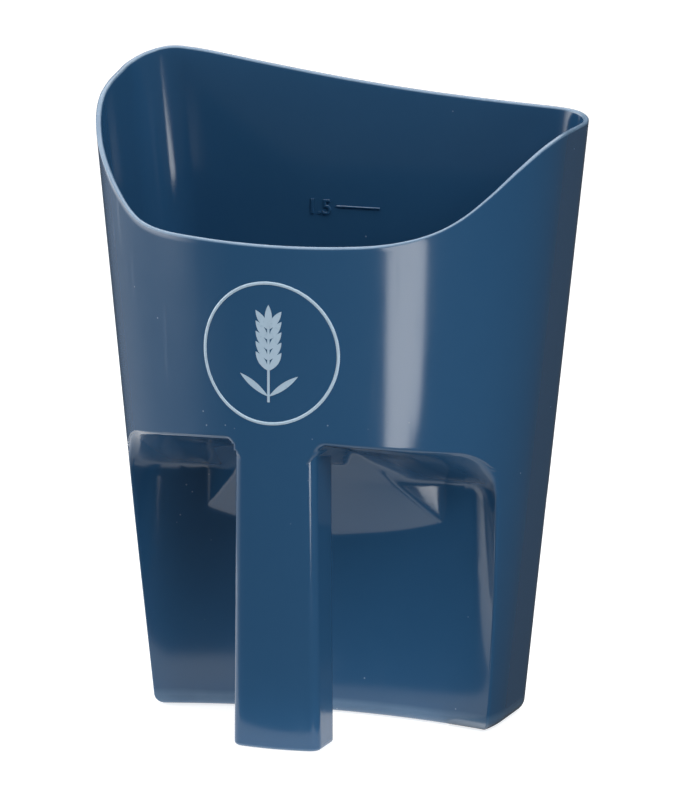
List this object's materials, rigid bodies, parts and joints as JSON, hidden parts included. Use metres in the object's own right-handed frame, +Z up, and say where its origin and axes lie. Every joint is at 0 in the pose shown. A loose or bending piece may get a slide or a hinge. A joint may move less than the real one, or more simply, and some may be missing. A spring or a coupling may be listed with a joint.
{
  "type": "feed scoop",
  "caption": "Deep D-shaped moulded scoop with a flat back, S-curved mouth, grip recess and a hanging hollow handle, for measuring out dry feed.",
  "frame": {"origin": "centre of the flat base, on the plane that the scoop stands on", "axes": "+Z up out of the mouth, -Y towards the handle, +X to the right when facing the handle"},
  "size_m": [0.1736, 0.1015, 0.2296],
  "materials": {
    "moulding": "gloss",
    "print": "satin"
  },
  "bodies": {
    "root": {"hopper_wall": "moulding", "side_and_back_wall": "moulding", "grip_recess": "moulding", "floor_plate": "moulding", "handle": "moulding", "mark_line": "moulding", "mark_one": "moulding", "mark_point": "moulding", "mark_five": "moulding", "emblem_ring": "print", "emblem_ear": "print"}
  },
  "joints": []
}
